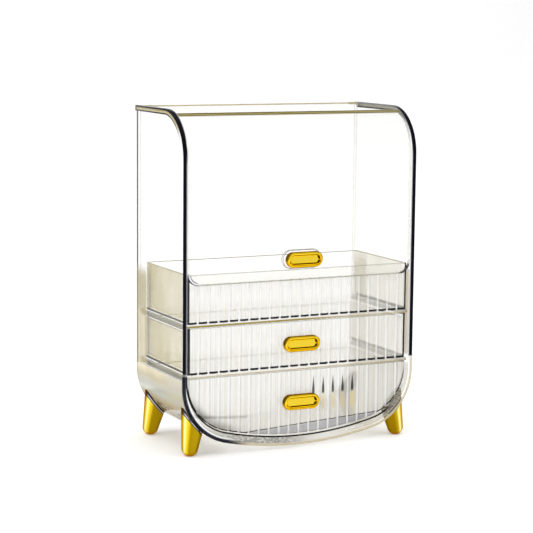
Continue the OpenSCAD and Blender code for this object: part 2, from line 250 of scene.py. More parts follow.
class Spot:
    """Where a point lies on the organizer, in millimetres, and which way its face looks."""

    def __init__(self, book: NodeBook) -> None:
        """Reads the piece's own coordinates."""
        self.book = book
        place = book.node("ShaderNodeTexCoord")
        at = book.node("ShaderNodeSeparateXYZ", None, {0: place.outputs["Object"]})
        look = book.node("ShaderNodeSeparateXYZ", None, {0: place.outputs["Normal"]})
        self.x = Signal(book, at.outputs[0]) * TO_MM
        self.y = (Signal(book, at.outputs[1]) - RIM_Y) * TO_MM
        self.z = Signal(book, at.outputs[2]) * TO_MM
        self.nx, self.ny, self.nz = (Signal(book, look.outputs[i]) for i in range(3))
        self.ax = abs(self.x)

    def tone(self, at: Signal, tones: tuple[tuple[float, Colour], ...]) -> Blend:
        """A colour that follows a number.

        Args:
            at: The number.
            tones: Numbers from low to high, and the colour at each.

        Returns:
            The colour.
        """
        low, high = tones[0][0], tones[-1][0]
        stops = [((place - low) / (high - low), colour) for place, colour in tones]
        share = (at - low) / (high - low)
        made = self.book.node("ShaderNodeValToRGB", {"stops": stops}, {0: share})
        return Blend(self.book, made.outputs[0])

    @staticmethod
    def length(a: Signal, b: Signal) -> Signal:
        """Length of a vector of two parts."""
        return (a * a + b * b).root()

    def from_edge(self) -> Signal:
        """Distance from the side wall's free edge, along its front and top."""
        back, up = BEND_R - self.y, self.z - BEND_Z
        outside = self.length(back.most(0.0), up.most(0.0))
        return BEND_R - (outside + back.most(up).least(0.0))

    def from_u(self, half: float, bottom: float, corner: float, belly: float) -> Signal:
        """Distance inwards from a U outline, seen from the front.

        Args:
            half: Half its width.
            bottom: Height of its lowest point.
            corner: Radius of its corners.
            belly: Radius of its shallow bottom.

        Returns:
            The distance, which is negative outside the outline.
        """
        side = half - corner
        low = bottom + belly - math.sqrt((belly - corner) ** 2 - side ** 2)
        over_x, under_z = (self.ax - side).most(0.0), (low - self.z).most(0.0)
        round_corner = corner - self.length(over_x, under_z)
        rise = (bottom + belly) - self.z
        curved = belly - self.length(self.x, rise)
        in_belly = (rise * (side / (bottom + belly - low))).above(self.ax)
        return round_corner + in_belly * (curved - round_corner)

    def from_pull(self, height: float, radius: float) -> Signal:
        """Distance outwards from an outline with two round ends.

        Args:
            height: Height of its middle.
            radius: Radius of its ends.

        Returns:
            The distance.
        """
        return self.length((self.ax - PULL_REACH).most(0.0), self.z - height) - radius


class Coat:
    """Cover and colour of a clear piece, with the lines, painted reflections and painted shade
    drawn on it.
    """

    def __init__(self, cover: Signal, colour: Blend) -> None:
        """Starts from the bare plastic."""
        self.cover = cover
        self.colour = colour

    def draw(self, where: Signal, *layers: tuple[Number, float, Blend | Colour]) -> None:
        """Draws lines, painted reflections and painted shade on one part of the piece, each over
        the last.

        Args:
            where: The part, as a mask from 0 to 1.
            layers: For each, its mask on that part, how dense it is, and its colour.
        """
        for mask, strength, paint in layers:
            mask = where * mask
            self.cover = self.cover + mask * (strength - self.cover)
            self.colour = self.colour.under((paint, mask))


Paint = Callable[[Spot, Coat], None]


@dataclass(frozen=True)
class ClearPlastic:
    """Clear plastic, drawn as thin sheets that show what is behind them."""

    tint: Colour = (0.996, 0.995, 0.991)
    body: Colour = (0.80, 0.79, 0.745)
    haze: float = 0.02
    gloss: float = 0.10
    rough: float = 0.07
    shine: float = 1.22
    ior: float = 1.46
    face_on: float = 0.04
    worn_haze: float = 0.012
    worn_rough: float = 0.12

    def make(self, name: str, paint: Paint | None = None) -> bpy.types.Material:
        """Builds the material.

        Args:
            name: The material's name.
            paint: Draws one piece's lines, painted reflections and painted shade.

        Returns:
            The material.
        """
        made, book = NodeBook.for_material(name)
        edge_on = Signal(book, book.node("ShaderNodeFresnel", None, {"IOR": self.ior}).outputs[0])
        wear = book.noise(60, 3)
        lighter = tuple(min(1, c * 1.06) for c in self.body)
        coat = Coat(self.haze + (edge_on - self.face_on).most(0.0) * self.gloss
                    + (wear - 0.5) * self.worn_haze,
                    book.mix(book.noise(25), self.body, lighter))
        if paint:
            paint(Spot(book), coat)
        rough = self.rough + (wear - 0.5).most(0.0) * self.worn_rough
        solid = book.node("ShaderNodeBsdfPrincipled", None, {
            "Base Color": coat.colour, "Roughness": rough.clamp(), "IOR": self.shine})
        through = book.node("ShaderNodeBsdfTransparent", None, {"Color": self.tint})
        both = book.node("ShaderNodeMixShader", None, {
            0: coat.cover.clamp(), 1: through.outputs[0], 2: solid.outputs[0]})
        book.node("ShaderNodeOutputMaterial", None, {"Surface": both.outputs[0]})
        return made


@dataclass(frozen=True)
class Metal:
    """Plated or bare metal."""

    colour: Colour
    shade: Colour
    rough: float
    bump: float = 0.0
    edge: Colour = (1.0, 1.0, 1.0)

    def make(self, name: str, paint: Callable[[Spot, Blend], Blend] | None = None,
             ) -> bpy.types.Material:
        """Builds the material.

        Args:
            name: The material's name.
            paint: Gives the metal's colour one piece's painted highlights and painted shade.

        Returns:
            The material.
        """
        made, book = NodeBook.for_material(name)
        cloud, grain = book.noise(55, 4), book.noise(1400, 2)
        colour = book.mix(cloud.ramp(0.35, 0.75), self.colour, self.shade)
        if paint:
            colour = paint(Spot(book), colour)
        rough = self.rough + (cloud - 0.5) * 0.06 + (grain - 0.5) * 0.04
        tilt = book.node("ShaderNodeBump", None,
                         {"Strength": self.bump, "Distance": 0.2 * MM, "Height": grain})
        solid = book.node("ShaderNodeBsdfPrincipled", None, {
            "Base Color": colour, "Roughness": rough.clamp(), "Metallic": 1.0,
            "Specular Tint": self.edge, "Normal": tilt.outputs[0]})
        book.node("ShaderNodeOutputMaterial", None, {"Surface": solid.outputs[0]})
        return made


GOLD = Metal(colour=(0.82, 0.54, 0.010), shade=(0.74, 0.45, 0.006), rough=0.12, bump=0.02,
             edge=(0.8, 0.5, 0.06))
STEEL = Metal(colour=(0.62, 0.62, 0.63), shade=(0.48, 0.48, 0.50), rough=0.28, bump=0.15)


class Slot(Enum):
    """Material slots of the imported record."""

    CLEAR = "clear_plastic"
    GOLD = "gold"
    STEEL = "steel_screws"


# ---- lines and shades

BLACK = (0.004, 0.004, 0.008)
NAVY = (0.018, 0.020, 0.045)
LILAC = (0.30, 0.31, 0.38)
SLATE = (0.14, 0.145, 0.19)
SAGE = (0.22, 0.215, 0.135)
OLIVE = (0.24, 0.19, 0.05)
CHAMPAGNE = (0.39, 0.305, 0.0)
BEIGE = (0.50, 0.42, 0.22)
CREAM = (0.84, 0.79, 0.66)
WHITE = (0.97, 0.97, 0.97)
# Tint and painted reflections of the case's round lower corners, by height above the table in
# millimetres.
CORNER_TINT_AND_REFLECTIONS = ((36, (0.30, 0.22, 0.07)), (42, (0.44, 0.31, 0.08)), (50, (0.50, 0.53, 0.43)),
                (56, (0.38, 0.38, 0.30)), (64, (0.46, 0.39, 0.21)), (71, (0.72, 0.62, 0.40)))
# Painted highlight and shade of a foot across its width, from its outer side (-1) to its inner side
# (1).
FOOT_HIGHLIGHTS_AND_SHADE = ((-1.0, (0.38, 0.20, 0.002)), (-0.80, (0.60, 0.42, 0.01)),
              (-0.64, (1.0, 0.97, 0.42)), (-0.46, (0.90, 0.68, 0.04)),
              (-0.26, (0.72, 0.50, 0.012)), (-0.08, (0.36, 0.22, 0.001)),
              (0.60, (0.42, 0.29, 0.006)), (1.0, (0.20, 0.11, 0.003)))
# Painted shade streaks across one flute: start, end, softness, added density, colour.
FLUTE_SHADE_STREAKS = ((0.16, 0.24, 0.05, 0.06, (0.50, 0.50, 0.47)),
           (0.40, 0.44, 0.04, 0.0, (0.70, 0.70, 0.66)),
           (0.62, 0.68, 0.05, 0.06, (0.62, 0.57, 0.42)),
           (0.80, 0.84, 0.04, 0.0, (0.64, 0.64, 0.60)))


def paint_case(spot: Spot, coat: Coat) -> None:
    """Draws the case's ledges, and paints reflections on its bead, bezel, rear edge and tinted
    lower walls.
    """
    x, y, z, ax = spot.x, spot.y, spot.z, spot.ax
    edge, outline, opening = spot.from_edge(), spot.from_u(*CASE_U), spot.from_u(*OPENING_U)
    left, right = x.ramp(2, -2), x.ramp(-2, 2)
    low, high = z.ramp(82, 78), z.ramp(276, 292)
    grain = spot.book.noise(420, 3, (1, 1, 1.6))
    cloud = spot.book.noise(45, 3, (1.6, 0.5, 1))
    # Walls: a champagne tint with painted reflections that grows towards the round lower corners,
    # and a painted reflection in a rear strip.
    behind = y.ramp(4.5, 6)
    coat.draw(
        outline.band(1.2, 4.8, 0.2) * behind,
        (z.ramp(150, 70) * (0.35 + 0.65 * cloud), 0.045, CREAM))
    # The corners' tint with painted reflections, greyer towards the front and stronger on the left.
    tone = spot.tone(z + (cloud - 0.5) * 7, CORNER_TINT_AND_REFLECTIONS)
    tone = tone.under(((0.46, 0.45, 0.39), y.ramp(70, 20) * 0.6))
    outside = outline.band(1.2, 2.0, 0.2) * behind
    coat.draw(
        outside * (0.55 + 0.45 * left),
        (ax.ramp(62, 84) * z.ramp(73.5, 72.5), 0.84, tone))
    # Rear strip: the painted reflection of the boxes inside, darker above the upper shelf.
    strip = z.ramp(177, 158) * z.ramp(72.5, 73.5) * y.ramp(89, 98)
    coat.draw(
        outside * strip * (0.4 + 0.6 * left),
        (1, 0.66, (0.42, 0.34, 0.12)),
        (z.ramp(124, 132), 0.76, (0.28, 0.235, 0.06)))
    coat.draw(
        outline.band(4.2, 5.2, 0.2) * edge.ramp(0.6, 1.0) * right,
        (y.ramp(15, 10) * z.band(82, 168, 3), 0.70, (0.66, 0.55, 0.33)))
    # Ledges under the shelves.
    coat.draw(outline.ramp(4.5, 4.7) * y.ramp(7.5, 8.2), (z.ramp(60, 64), 0.80, SAGE))
    # Rear edge of the wall, painted reflections: dark lines on the left, beige on the right.
    rear = y.ramp(117.9, 118.3)
    coat.draw(
        rear * left,
        (outline.ramp(2.6, 2.2), 0.8, (0.22, 0.20, 0.13)),
        (outline.ramp(3.5, 3.0) * z.ramp(58, 66), 0.9, (0.045, 0.045, 0.035)),
        (outline.ramp(4.7, 4.5) * z.ramp(52, 42), 0.85, (0.06, 0.065, 0.10)))
    coat.draw(rear * right, (outline.ramp(2.9, 2.5), 0.25, BEIGE))
    # Outer side of the bead, painted reflections: olive and beige between black lines on top, clear
    # in front, navy low on the left.
    side = outline.ramp(0.75, 0.35) * edge.ramp(6.0, 5.4)
    shoulder = z.ramp(300, 322)
    lines = edge.ramp(1.9, 1.5) + edge.band(4.2, 7.0, 0.25) + y.ramp(115.5, 117.0)
    coat.draw(
        side * shoulder,
        (1, 0.88, (0.42, 0.35, 0.19)), (edge.ramp(3.0, 1.8), 0.9, (0.30, 0.25, 0.10)))
    coat.draw((side * shoulder * lines).clamp(), (1, 0.99, (0.006, 0.005, 0.002)))
    coat.draw(
        outline.ramp(2.3, 1.9) * outline.ramp(0.35, 0.75) * shoulder,
        (edge.band(4.2, 5.8, 0.25), 0.95, (0.02, 0.018, 0.008)))
    coat.draw(side * low * left, (edge.ramp(2.6, 2.0), 0.95, NAVY))
    # Face of the bead that looks forwards and up, painted reflections: black from its outer edge,
    # slate on the left, lilac on the right.
    front = edge.ramp(0.9, 0.5)
    coat.draw(
        front * outline.ramp(4.7, 4.5) * (1 - low),
        (left * outline.ramp(4.8, 3.4), 0.88, SLATE),
        (right, 0.6, LILAC),
        (right * outline.ramp(4.0, 3.7), 1.0, BLACK),
        (left * outline.ramp(3.3, 2.9), 1.0, BLACK),
        (high * outline.ramp(4.3, 4.1), 1.0, BLACK))
    # Bezel, painted reflections: mottled grey in the middle, glassy on the right, dark lines and a
    # white highlight on the left.
    dark = left * x.ramp(-52, -80)
    mottle = x.band(-92, 5, 28) * (0.45 + grain.ramp(0.38, 0.60)).clamp()
    coat.draw(
        front * low * opening.ramp(0.3, 0.0),
        (1, 0.42, (0.88, 0.87, 0.84)),
        (mottle, 0.85, (0.27, 0.265, 0.24)),
        (outline.band(3.6, 5.0, 0.3) * x.ramp(-62, -88), 0.9, WHITE),
        (x.ramp(25, 75), 0.16, CREAM),
        (outline.ramp(2.9, 2.2), 0.85, (0.66, 0.57, 0.38)),
        (outline.ramp(3.6, 3.0) * dark, 0.98, NAVY),
        (outline.ramp(2.4, 1.4) * dark, 0.98, BLACK),
        (opening.ramp(-1.7, -1.2) * x.ramp(110, 96), 0.98, BLACK),
        (outline.band(4.4, 5.1, 0.2) * x.ramp(30, 60), 0.7, (0.62, 0.54, 0.38)))


def paint_lid(spot: Spot, coat: Coat) -> None:
    """Paints reflections on the lid's bend, edges and lower corners, and the pull's reflection in a
    ring about it.
    """
    x, y, z, ax = spot.x, spot.y, spot.z, spot.ax
    left, right = x.ramp(0, -2), x.ramp(0, 2)
    # The bend: painted reflections in beige, dark brown and olive-gold bands.
    coat.draw(
        spot.from_edge().ramp(1.0, 0.7) * z.ramp(300, 305),
        (y.band(22.8, 29.6, 0.4), 0.7, (0.50, 0.44, 0.28)),
        (y.band(24.0, 28.9, 0.3), 0.98, (0.085, 0.065, 0.002)),
        (y.band(25.6, 27.0, 0.3), 0.96, (0.36, 0.29, 0.04)))
    # Rear edge, and side edges of the bent sheet, painted reflections.
    coat.draw(y.ramp(104, 106), (z.ramp(326.8, 327.4), 0.88, (0.52, 0.42, 0.20)))
    coat.draw(ax.ramp(119.5, 119.9), (z.ramp(174, 178), 0.55, (0.34, 0.34, 0.32)))
    # Lower edge and its corners, black on the right and navy with a white highlight on the left,
    # then the front's side edges and the pull's reflection in a ring, all painted.
    front = y.ramp(5.5, 4.5)
    low = z.ramp(178, 172) * front
    coat.draw(low, (z.ramp(165.9, 165.4), 0.62, (0.36, 0.34, 0.26)))
    corner = spot.length((ax - LID_CORNER_X).most(0.0), (LID_CORNER_Z - z).most(0.0))
    coat.draw(
        low * ax.ramp(LID_CORNER_X, LID_CORNER_X + 2),
        (corner.ramp(9.6, 10.2) * right, 0.95, BLACK),
        (corner.ramp(7.6, 8.0) * left, 0.95, NAVY),
        (corner.band(8.6, 10.2, 0.2) * left, 0.95, WHITE))
    ring = spot.from_pull(LID_PULL_Z, PULL_R).band(0.8, 1.7, 0.3)
    coat.draw(
        front,
        (ax.ramp(116.5, 119.0) * z.ramp(176, 180), 0.22, (0.70, 0.67, 0.60)),
        (ring, 0.7, (0.22, 0.21, 0.16)))


def paint_shelf(spot: Spot, coat: Coat) -> None:
    """Draws a shelf's front edge in brass-brown and its ends in grey-green."""
    x, y, z, ax = spot.x, spot.y, spot.z, spot.ax
    above = z.phase(SHELF_PITCH) * SHELF_PITCH - SHELF_LOW
    upper = z.ramp(100, 120) * x.ramp(90, -10)
    coat.draw(
        y.ramp(4.6, 4.2),
        (1, 0.45, (0.80, 0.77, 0.68)),
        (above.ramp(1.6, 1.2), 0.85, (0.50, 0.42, 0.24)),
        (above.ramp(2.2, 1.8) * upper, 0.94, (0.30, 0.22, 0.02)))
    coat.draw(ax.ramp(119.4, 120.0), (1, 0.78, SAGE))


def paint_edge(spot: Spot, coat: Coat) -> None:
    """Tints the polished edges of plain plates all over."""
    coat.draw(spot.z.ramp(-2, -1), (1, 0.35, SAGE))


def paint_pull(height: float, spot: Spot, colour: Blend) -> Blend:
    """Paints highlights on a pull's ridge, and painted shade on its outer edge and in the groove
    about its face.

    Args:
        height: Height of the pull's middle.
        spot: Where a point lies.
        colour: The bare metal's colour.

    Returns:
        The shaded colour.
    """
    path = spot.from_pull(height, PULL_R - PULL_RIM)
    up = (spot.z - height) / PULL_R
    sunk_shade = path.band(-2.4, -1.5, 0.15) * up.ramp(-0.25, -0.4) * spot.x.ramp(-13, -11)
    end = path.band(-3.1, -1.3, 0.15) * spot.x.ramp(13.0, 14.5) * (1 - up.band(-0.12, 0.02, 0.04))
    # Face and rim colours, a painted highlight on the ridge, and painted shade on the outer edge,
    # the inner rim, the sunk groove and the right end.
    return colour.under(
        ((0.75, 0.55, 0.04), path.ramp(-2.5, -2.9) * 0.85),
        ((0.82, 0.48, 0.004), abs(path).ramp(1.9, 1.5)),
        ((1.0, 0.80, 0.05), path.band(-0.4, 0.6, 0.3) * (up - spot.x * 0.03).ramp(0.0, 0.6)),
        ((0.17, 0.10, 0.004), path.ramp(0.9, 1.3) * (up * 1.3 - spot.x * 0.02).ramp(-0.1, 0.5)),
        ((0.40, 0.19, 0.003), path.band(-1.5, -0.9, 0.2) * up.ramp(0.2, 0.7)),
        ((0.008, 0.004, 0.001), (sunk_shade + end).clamp()))


def paint_foot(spot: Spot, colour: Blend) -> Blend:
    """Paints a foot's highlight and shade streaks and shade on its underside and top face, and
    draws its dark joint with the case with a silver line.
    """
    on_right, outline = spot.x.above(0.0), spot.from_u(*CASE_U)
    # The painted highlight and shade follow how the face turns along one fixed level direction,
    # mirrored on the right.
    across = (spot.nx * 0.897 - spot.ny * 0.4415) * (1 - 2 * on_right)
    return colour.under(
        (spot.tone(across, FOOT_HIGHLIGHTS_AND_SHADE), 0.94),
        ((0.27, 0.145, 0.001), on_right * across.ramp(-0.58, -0.40) * 0.6),
        ((0.50, 0.24, 0.004), spot.nz.ramp(-0.35, -0.75) * 0.8),
        ((0.07, 0.065, 0.055), outline.ramp(-5.0, -3.0) * across.ramp(-0.80, -0.94) * 0.85),
        ((0.03, 0.03, 0.04), outline.ramp(-1.7, -1.3)),
        ((0.62, 0.62, 0.64), outline.band(-0.7, -0.1, 0.15) * across.ramp(-0.85, -0.6)),
        ((0.10, 0.10, 0.11), outline.ramp(1.2, 1.4) * spot.nz.ramp(0.5, 0.8)))


# ---- modelling


class Parts(Enum):
    """What is selected in edit mode."""

    FACES = "FACE"
    EDGES = "EDGE"
    VERTS = "VERT"


class Bench:
    """The modelling moves that every piece is made with."""

    @staticmethod
    def take(*pieces: Piece) -> None:
        """Selects some pieces and nothing else, with the first one active.

        Args:
            pieces: The pieces. Without any, all objects are deselected.
        """
        bpy.ops.object.select_all(action="DESELECT")
        for piece in reversed(pieces):
            piece.select_set(True)
            bpy.context.view_layer.objects.active = piece

    @classmethod
    def settle(cls, piece: Piece, place: Matrix | None = None) -> None:
        """Puts a piece's place into its mesh.

        Args:
            piece: The piece.
            place: Where it goes first. Without it, it stays where it is.
        """
        cls.take(piece)
        if place is not None:
            piece.matrix_world = place
        bpy.ops.object.transform_apply(location=True, rotation=True, scale=True)

    @classmethod
    def start(cls, add: Callable[..., set[str]], name: str, **settings: object) -> Piece:
        """Adds a primitive at its size and place.

        Args:
            add: The operator that adds it.
            name: The piece's name.
            settings: The operator's settings.

        Returns:
            The piece.
        """
        cls.take()
        add(**settings)
        piece = bpy.context.object
        piece.name = name
        cls.settle(piece)
        return piece

    @classmethod
    def edit(cls, piece: Piece, pick: Callable[[bmesh.types.BMElem], bool] | None = None,
             parts: Parts = Parts.FACES) -> None:
        """Opens a piece for editing with some of its parts selected.

        Args:
            piece: The piece.
            pick: Says of each part whether it is selected. Without it, all are.
            parts: Whether faces, edges or points are picked.
        """
        cls.take(piece)
        bpy.ops.object.mode_set(mode="EDIT")
        bpy.ops.mesh.select_mode(type=parts.value)
        bpy.ops.mesh.select_all(action="DESELECT" if pick else "SELECT")
        if pick:
            mesh = bmesh.from_edit_mesh(piece.data)
            for part in getattr(mesh, parts.name.lower()):
                part.select_set(pick(part))
            mesh.select_flush_mode()
            bmesh.update_edit_mesh(piece.data)

    @staticmethod
    def extrude(way: Triple, widen: Triple = (1, 1, 1)) -> None:
        """Extrudes what is selected, and widens its far end along each axis."""
        bpy.ops.mesh.extrude_region_move(TRANSFORM_OT_translate={"value": way})
        bpy.ops.transform.resize(value=widen)

    @staticmethod
    def close() -> None:
        """Leaves edit mode."""
        bpy.ops.object.mode_set(mode="OBJECT")

    @classmethod
    def face_out(cls, piece: Piece, join_within: float = 0.0) -> None:
        """Joins doubles, if asked to, and turns a solid's faces outwards.

        Args:
            piece: The piece.
            join_within: How near points are that become one.
        """
        cls.edit(piece)
        if join_within:
            bpy.ops.mesh.remove_doubles(threshold=join_within)
        bpy.ops.mesh.normals_make_consistent(inside=False)
        cls.close()

    @classmethod
    def turned(cls, name: str, sides: int, radius: float, base: float,
               rings: Iterable[tuple[float, float]]) -> Piece:
        """Shapes a round solid up its Z axis, as on a lathe.

        Args:
            name: The piece's name.
            sides: How many sides stand for round.
            radius: Radius of its first face.
            base: Height of its first face.
            rings: For each next ring, how far it is above the last and how much wider.

        Returns:
            The piece.
        """
        piece = cls.start(bpy.ops.mesh.primitive_circle_add, name, vertices=sides, radius=radius,
                          fill_type="NGON", location=(0, 0, base))
        cls.edit(piece)
        for rise, widen in rings:
            cls.extrude((0, 0, rise), (widen, widen, 1))
        cls.close()
        return piece

    @classmethod
    def finish_solid(cls, piece: Piece, rounding: float, limit: float = 50) -> None:
        """Joins doubles, turns the faces outwards, rounds the edges and shades a piece.

        Args:
            piece: The piece.
            rounding: Width of its rounded edges.
            limit: Angle from which an edge is rounded.
        """
        cls.face_out(piece, join_within=0.005 * MM)
        cls.modify(piece, "BEVEL", width=rounding, segments=3, limit_method="ANGLE",
                   angle_limit=math.radians(limit), use_clamp_overlap=True)
        cls.smooth(piece)

    @classmethod
    def cut(cls, piece: Piece, tool: Piece, way: str = "DIFFERENCE") -> None:
        """Takes a solid out of a piece, or joins it on, and deletes that solid."""
        cls.modify(piece, "BOOLEAN", operation=way, solver="EXACT", object=tool)
        bpy.data.objects.remove(tool)

    @classmethod
    def cut_cross(cls, screw: Piece, radius: float, place: Matrix) -> None:
        """Rounds a screw's edges and cuts the tapered cross of its recess.

        Args:
            screw: The screw.
            radius: Radius of its head.
            place: Takes a recess that points down Z to the middle of the head's face.
        """
        cls.finish_solid(screw, 0.1 * MM)
        long, thin, deep = 0.62 * radius, 0.14 * radius, 0.42 * radius
        bars = []
        for size in ((long, thin, deep), (thin, long, deep)):
            bar = cls.start(bpy.ops.mesh.primitive_cube_add, "recess_bar", size=2, scale=size)
            cls.edit(bar, lambda face: face.normal.z < -0.5)
            bpy.ops.transform.resize(value=(0.55, 0.55, 1))
            cls.close()
            bars.append(bar)
        cls.cut(bars[0], bars[1], "UNION")
        cls.settle(bars[0], place)
        cls.cut(screw, bars[0])
        cls.smooth(screw)

    @classmethod
    def placed(cls, master: Piece, name: str, place: Matrix) -> Piece:
        """Copies a piece with a mesh of its own.

        Args:
            master: The piece that is copied.
            name: Name of the copy.
            place: Where it goes.

        Returns:
            The copy, with its place in its mesh.
        """
        piece = bpy.data.objects.new(name, master.data.copy())
        bpy.context.scene.collection.objects.link(piece)
        cls.settle(piece, place)
        if place.determinant() < 0:
            cls.face_out(piece)
        return piece

    @classmethod
    def joined(cls, pieces: list[Piece], name: str) -> Piece:
        """Joins several solids into one piece.

        Args:
            pieces: The solids.
            name: The piece's name.

        Returns:
            The piece.
        """
        cls.take(*pieces)
        bpy.ops.object.join()
        pieces[0].name = name
        return pieces[0]

    @classmethod
    def modify(cls, piece: Piece, kind: str, **settings: object) -> None:
        """Adds a modifier and applies it.

        Args:
            piece: The piece.
            kind: The modifier's type.
            settings: Its settings.
        """
        cls.take(piece)
        made = piece.modifiers.new(kind.lower(), kind)
        for name, value in settings.items():
            setattr(made, name, value)
        bpy.ops.object.modifier_apply(modifier=made.name)

    @classmethod
    def smooth(cls, piece: Piece, degrees: float = 40) -> None:
        """Shades a piece smooth up to an angle."""
        cls.take(piece)
        bpy.ops.object.shade_smooth_by_angle(angle=math.radians(degrees))

    @classmethod
    def clear_piece(cls, node: str, name: str, body: str, rounding: float,
                    *materials: bpy.types.Material) -> None:
        """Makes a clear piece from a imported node: joins its loose triangles and rounds its edges.

        Args:
            node: The node.
            name: Name of the piece.
            body: The body that it moves with.
            rounding: Width of its rounded edges.
            materials: Material of its faces, then of its rounded edges if that is another.
        """
        piece = cls.placed(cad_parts[node], name, Matrix())
        piece.data.materials.clear()
        cls.edit(piece)
        bpy.ops.mesh.remove_doubles(threshold=0.02 * MM)
        bpy.ops.mesh.dissolve_limited(angle_limit=math.radians(1.0))
        cls.close()
        for material in (materials[0], materials[-1]):
            piece.data.materials.append(material)
        cls.modify(piece, "BEVEL", width=rounding, segments=2, limit_method="ANGLE",
                   angle_limit=math.radians(40), material=1, use_clamp_overlap=True)
        cls.smooth(piece, 35)
        cls.hand_over(piece, body, Slot.CLEAR, node)

    @staticmethod
    def dress(piece: Piece, material: bpy.types.Material) -> None:
        """Gives a piece one material all over."""
        piece.data.materials.clear()
        piece.data.materials.append(material)

    @staticmethod
    def hand_over(piece: Piece, body: str, slot: Slot, node: str) -> None:
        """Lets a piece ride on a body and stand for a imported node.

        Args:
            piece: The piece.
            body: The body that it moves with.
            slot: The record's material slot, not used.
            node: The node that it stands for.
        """
        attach(piece, body)
        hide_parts(node)
        log.info("%s: %d faces on %s", piece.name, len(piece.data.polygons), body)


# ---- studio


@dataclass
class Studio:
    """Camera, soft lights and a pale floor that sweeps up behind the organizer."""

    yaw: float = 26.21
    pitch: float = 8.06
    roll: float = -0.562
    lens: float = 121.08
    place: Triple = (-0.7862, -1.5749, 0.4196)
    floor_half: float = 15.0
    floor_glow: float = 0.22
    sweep_r: float = 1.0
    wall_y: float = 3.0
    wall_h: float = 3.2

    def build(self) -> None:
        """Sets up everything around the organizer."""
        self.camera()
        self.floor()
        self.lights()
        self.world()
        scene = bpy.context.scene
        scene.view_settings.view_transform = "Standard"
        scene.cycles.transparent_max_bounces = 40
        log.info("studio is ready")

    def camera(self) -> None:
        """Stands the camera where the photograph was taken from."""
        yaw, pitch, roll = (math.radians(a) for a in (self.yaw, self.pitch, self.roll))
        bpy.ops.object.camera_add()
        camera = bpy.context.object
        camera.matrix_world = (
            Matrix.Translation(self.place) @ Matrix.Rotation(-yaw, 4, "Z")
            @ Matrix.Rotation(math.pi / 2 - pitch, 4, "X") @ Matrix.Rotation(-roll, 4, "Z"))
        camera.data.lens = self.lens
        camera.data.sensor_width = 36
        camera.data.clip_end = 50
        bpy.context.scene.camera = camera

    def floor(self) -> None:
        """Makes the floor and bends its rear edge up into a backdrop."""
        sweep = Bench.start(bpy.ops.mesh.primitive_plane_add, "floor_sweep",
                            size=2 * self.floor_half,
                            location=(0, self.wall_y - self.floor_half, 0))
        near = self.wall_y - 0.01
        Bench.edit(sweep, lambda edge: all(v.co.y > near for v in edge.verts), Parts.EDGES)
        bpy.ops.mesh.spin(steps=24, angle=math.radians(-90), axis=(1, 0, 0),
                          center=(0, self.wall_y, self.sweep_r))
        Bench.extrude((0, 0, self.wall_h))
        Bench.close()
        Bench.smooth(sweep, 60)
        made, book = NodeBook.for_material("floor_white")
        colour = book.mix(book.noise(3, 2), (0.93, 0.93, 0.93), (0.95, 0.95, 0.95))
        solid = book.node("ShaderNodeBsdfPrincipled", None, {
            "Base Color": colour, "Roughness": 0.9,
            "Emission Color": (1.0, 1.0, 1.0), "Emission Strength": self.floor_glow})
        book.node("ShaderNodeOutputMaterial", None, {"Surface": solid.outputs[0]})
        Bench.dress(sweep, made)

    def lights(self) -> None:
        """Hangs a light overhead, one to each side, one before the backdrop and a small one."""
        for name, place, size, power, target in (
                ("overhead", (0.0, -0.3, 2.6), 3.2, 32.0, (0, 0, 0.15)),
                ("left_side", (-2.2, -0.9, 1.1), 1.5, 11.0, (0, 0, 0.15)),
                ("right_side", (2.3, -1.2, 1.2), 1.2, 6.0, (0, 0, 0.15)),
                ("backdrop", (1.3, 2.2, 2.2), 2.5, 12.0, (1.6, 4.0, 0.2)),
                ("strip", (-1.5, 0.25, 0.35), 0.12, 3.0, (0, 0, 0.1))):
            bpy.ops.object.light_add(type="AREA", location=place)
            light = bpy.context.object
            light.name = name
            light.data.size = size
            light.data.energy = power
            aim = Vector(target) - Vector(place)
            light.rotation_euler = aim.to_track_quat("-Z", "Y").to_euler()

    def world(self) -> None:
        """Gives the room a plain grey-white light, darker near the horizon in front."""
        world = bpy.data.worlds.new("studio")
        bpy.context.scene.world = world
        world.use_nodes = True
        book = NodeBook(world.node_tree)
        place = book.node("ShaderNodeTexCoord").outputs["Generated"]
        way = book.node("ShaderNodeSeparateXYZ", None, {0: place})
        depth, height = (Signal(book, way.outputs[i]) for i in (1, 2))
        level = 0.35 + 0.65 * height.ramp(0.05, 0.6) + 0.3 * depth.ramp(0.0, 0.6)
        colour = book.mix(level.clamp(), (0.05, 0.045, 0.04), (1.0, 1.0, 1.0))
        back = book.node("ShaderNodeBackground", None, {"Color": colour, "Strength": 0.62})
        book.node("ShaderNodeOutputWorld", None, {"Surface": back.outputs[0]})


# ---- the organizer


@dataclass
class Case:
    """The U-shaped case with its back, shelves and runners."""

    rounding: float = 0.8 * MM
    plate_rounding: float = 0.5 * MM
    plates: tuple[str, ...] = ("back_panel", "upper_shelf", "lower_shelf", "floor_runners")

    def build(self) -> None:
        """Builds and dresses the case's pieces."""
        painted = ClearPlastic(shine=1.1).make("case_clear", paint_case)
        Bench.clear_piece("case_shell", "case_moulding", "case", self.rounding, painted)
        sheet = [ClearPlastic().make("plate_clear"), ClearPlastic().make("plate_edge", paint_edge)]
        shelf = [ClearPlastic().make("shelf_clear", paint_shelf)]
        for node in self.plates:
            look = shelf if node.endswith("shelf") else sheet
            Bench.clear_piece(node, node + "_plate", "case", self.plate_rounding, *look)


@dataclass
class Lid:
    """The bent lid with its pins."""

    rounding: float = 0.6 * MM
    pin_rounding: float = 0.2 * MM

    def build(self) -> None:
        """Builds and dresses the lid's pieces."""
        painted = ClearPlastic(gloss=0.04).make("lid_clear", paint_lid)
        Bench.clear_piece("lid_panel", "lid_bent_sheet", "lid", self.rounding, painted)
        plain = ClearPlastic(haze=0.2).make("pin_clear")
        for node in ("left_hinge_pin", "right_hinge_pin"):
            Bench.clear_piece(node, node + "_rod", "lid", self.pin_rounding, plain)


